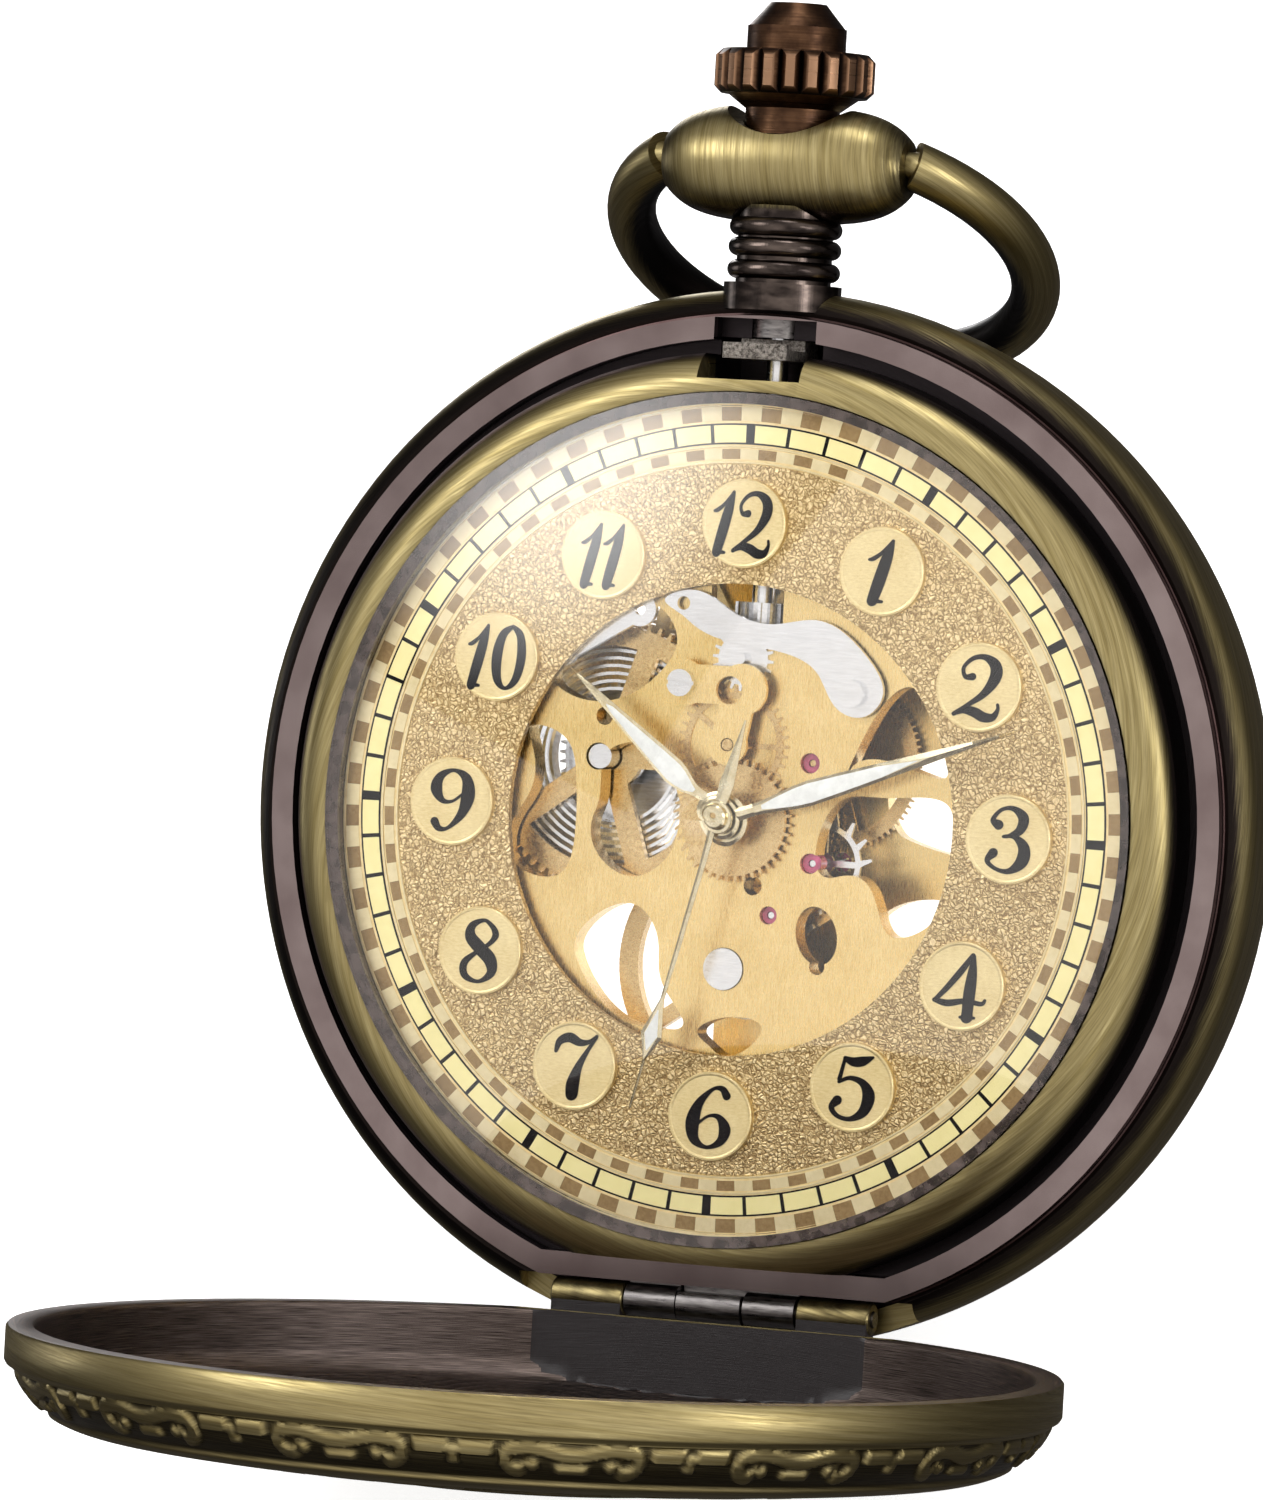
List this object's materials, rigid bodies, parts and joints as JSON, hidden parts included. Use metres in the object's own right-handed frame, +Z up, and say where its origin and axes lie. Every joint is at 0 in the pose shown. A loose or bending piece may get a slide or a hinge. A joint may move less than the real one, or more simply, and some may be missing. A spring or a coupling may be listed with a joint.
{
  "type": "pocket watch",
  "caption": "Open-faced skeleton pocket watch standing on its opened, embossed front cover, with swinging bow, knurled crown, moving hands and wheel train.",
  "frame": {"origin": "on the surface that the watch stands on, under the middle of its footprint", "axes": "+Z up; the dial faces -Y and leans back; +X towards 3 o'clock; the open cover reaches towards -Y"},
  "size_m": [0.047, 0.0742, 0.0558],
  "materials": {
    "antique_brass": "brushed olive antique brass with dark recesses",
    "dark_bronze": "polished dark bronze plate",
    "cover_bronze": "embossed antique brass, dark inside",
    "crown_copper": "brown antique copper",
    "glass": "clear mineral glass",
    "dark_steel": "dark polished steel",
    "bright_steel": "polished steel",
    "gold_dial": "stippled gold dial",
    "gold_disc": "brushed pale gold",
    "hand_gold": "pale gold hands with white fill",
    "gold_plate": "gilded, brushed plates",
    "gold_wheel": "gilded wheel brass",
    "ruby": "synthetic ruby",
    "black_ring": "black holder ring"
  },
  "bodies": {
    "case": {"case_middle": "antique_brass", "front_bezel": "antique_brass", "front_crystal": "glass", "rehaut_ring": "dark_bronze", "back_bezel": "antique_brass", "back_crystal": "glass", "back_crystal_ring": "black_ring", "hinge_pin": "dark_steel", "case_hinge_knuckles": "dark_steel", "lift_spring_finger": "dark_steel", "pendant": "antique_brass", "dial": "gold_dial", "numeral_discs": "gold_disc", "movement_ring": "black_ring", "main_plate": "gold_plate", "bridge_pillars": "gold_plate", "barrel_bridge": "gold_plate", "train_bridge": "gold_plate", "balance_cock": "gold_plate", "jewels": "ruby", "shock_setting": "bright_steel", "bridge_screws": "bright_steel", "motion_bridge": "gold_plate", "motion_bridge_foot": "gold_plate", "setting_lever_spring": "bright_steel", "setting_lever": "bright_steel", "keyless_screws": "bright_steel", "crown_wheel_core": "bright_steel", "click": "bright_steel"},
    "front_cover": {"front_cover": "cover_bronze"},
    "bow": {"bow": "antique_brass"},
    "release_sleeve": {"release_sleeve": "dark_steel"},
    "stem_collar": {"stem_collar": "dark_steel"},
    "crown": {"crown": "crown_copper", "crown_cap": "crown_copper", "winding_stem": "bright_steel", "winding_pinion": "bright_steel", "sliding_pinion": "bright_steel"},
    "cover_catch": {"cover_catch": "dark_steel"},
    "crown_wheel": {"crown_wheel": "bright_steel"},
    "ratchet": {"ratchet_wheel": "bright_steel", "barrel_arbor": "bright_steel", "mainspring": "bright_steel"},
    "barrel": {"barrel": "gold_wheel"},
    "centre_wheel": {"centre_wheel": "gold_wheel"},
    "third_wheel": {"third_wheel": "gold_wheel"},
    "seconds": {"fourth_wheel": "gold_wheel", "second_hand": "hand_gold"},
    "escape_wheel": {"escape_wheel": "bright_steel"},
    "pallet_fork": {"pallet_fork": "bright_steel"},
    "balance": {"balance_wheel": "gold_wheel", "hairspring": "bright_steel"},
    "minutes": {"cannon_pinion": "bright_steel", "minute_hand": "hand_gold"},
    "minute_wheel": {"minute_wheel": "gold_wheel"},
    "hours": {"hour_wheel": "gold_wheel", "hour_hand": "hand_gold"},
    "setting_wheel": {"setting_wheel": "bright_steel"}
  },
  "joints": [
    {"name": "cover_hinge", "type": "hinge", "parent": "case", "child": "front_cover", "pos_m": [0, 0.00373, 0.00349], "axis": [1, 0, 0], "range_deg": [-90, 0]},
    {"name": "bow_swing", "type": "hinge", "parent": "case", "child": "bow", "pos_m": [0, 0.02649, 0.04901], "axis": [1, 0, 0], "range_deg": [-18, 245]},
    {"name": "crown_push", "type": "slide", "parent": "case", "child": "release_sleeve", "axis": [0, 0.4229, 0.9062], "range_m": [-0.00045, 0], "stiffness_N_per_m": 600, "springref_m": 0.0003},
    {"name": "crown_pull", "type": "slide", "parent": "release_sleeve", "child": "stem_collar", "axis": [0, 0.4229, 0.9062], "range_m": [0, 0.0009]},
    {"name": "crown_turn", "type": "hinge", "parent": "stem_collar", "child": "crown", "pos_m": [0, 0.0268, 0.04967], "axis": [0, 0.4229, 0.9062], "continuous": true},
    {"name": "catch_slide", "type": "slide", "parent": "case", "child": "cover_catch", "axis": [0, 0.4229, 0.9062], "range_m": [-0.00045, 0]},
    {"name": "crown_wheel_turn", "type": "hinge", "parent": "case", "child": "crown_wheel", "pos_m": [-0.0017, 0.01926, 0.0288], "axis": [0, 0.9062, -0.4229], "continuous": true},
    {"name": "ratchet_turn", "type": "hinge", "parent": "case", "child": "ratchet", "pos_m": [-0.0066, 0.01694, 0.02381], "axis": [0, 0.9062, -0.4229], "continuous": true},
    {"name": "barrel_turn", "type": "hinge", "parent": "case", "child": "barrel", "pos_m": [-0.0066, 0.01531, 0.02457], "axis": [0, 0.9062, -0.4229], "continuous": true},
    {"name": "centre_wheel_turn", "type": "hinge", "parent": "case", "child": "centre_wheel", "pos_m": [0, 0.01429, 0.0224], "axis": [0, 0.9062, -0.4229], "continuous": true},
    {"name": "third_wheel_turn", "type": "hinge", "parent": "case", "child": "third_wheel", "pos_m": [0.00335, 0.01543, 0.02485], "axis": [0, 0.9062, -0.4229], "continuous": true},
    {"name": "seconds_turn", "type": "hinge", "parent": "case", "child": "seconds", "pos_m": [0, 0.01429, 0.0224], "axis": [0, 0.9062, -0.4229], "continuous": true},
    {"name": "escape_wheel_turn", "type": "hinge", "parent": "case", "child": "escape_wheel", "pos_m": [0.0036, 0.01357, 0.02086], "axis": [0, 0.9062, -0.4229], "continuous": true},
    {"name": "pallet_rock", "type": "hinge", "parent": "case", "child": "pallet_fork", "pos_m": [0.0018, 0.0122, 0.01885], "axis": [0, 0.9062, -0.4229], "range_deg": [-5, 5]},
    {"name": "balance_swing", "type": "hinge", "parent": "case", "child": "balance", "pos_m": [-0.00015, 0.01168, 0.01633], "axis": [0, 0.9062, -0.4229], "range_deg": [-135, 135], "stiffness_Nm_per_rad": 0.0000014},
    {"name": "minutes_turn", "type": "hinge", "parent": "case", "child": "minutes", "pos_m": [0, 0.01157, 0.02367], "axis": [0, 0.9062, -0.4229], "continuous": true},
    {"name": "minute_wheel_turn", "type": "hinge", "parent": "case", "child": "minute_wheel", "pos_m": [-0.00025, 0.0136, 0.02636], "axis": [0, 0.9062, -0.4229], "continuous": true},
    {"name": "hours_turn", "type": "hinge", "parent": "case", "child": "hours", "pos_m": [0, 0.01157, 0.02367], "axis": [0, 0.9062, -0.4229], "continuous": true},
    {"name": "setting_wheel_turn", "type": "hinge", "parent": "case", "child": "setting_wheel", "pos_m": [0, 0.01521, 0.02981], "axis": [0, 0.9062, -0.4229], "continuous": true}
  ],
  "couplings": [
    {"joint": "catch_slide", "follows": "crown_push", "ratio": 1},
    {"joint": "crown_wheel_turn", "follows": "crown_turn", "ratio": -0.3},
    {"joint": "ratchet_turn", "follows": "crown_turn", "ratio": 0.3913},
    {"joint": "third_wheel_turn", "follows": "seconds_turn", "ratio": -0.1},
    {"joint": "centre_wheel_turn", "follows": "seconds_turn", "ratio": 0.016667},
    {"joint": "barrel_turn", "follows": "seconds_turn", "ratio": -0.0027778},
    {"joint": "escape_wheel_turn", "follows": "seconds_turn", "ratio": -10},
    {"joint": "minute_wheel_turn", "follows": "minutes_turn", "ratio": -0.33333},
    {"joint": "hours_turn", "follows": "minutes_turn", "ratio": 0.083333},
    {"joint": "setting_wheel_turn", "follows": "minutes_turn", "ratio": 0.6}
  ]
}
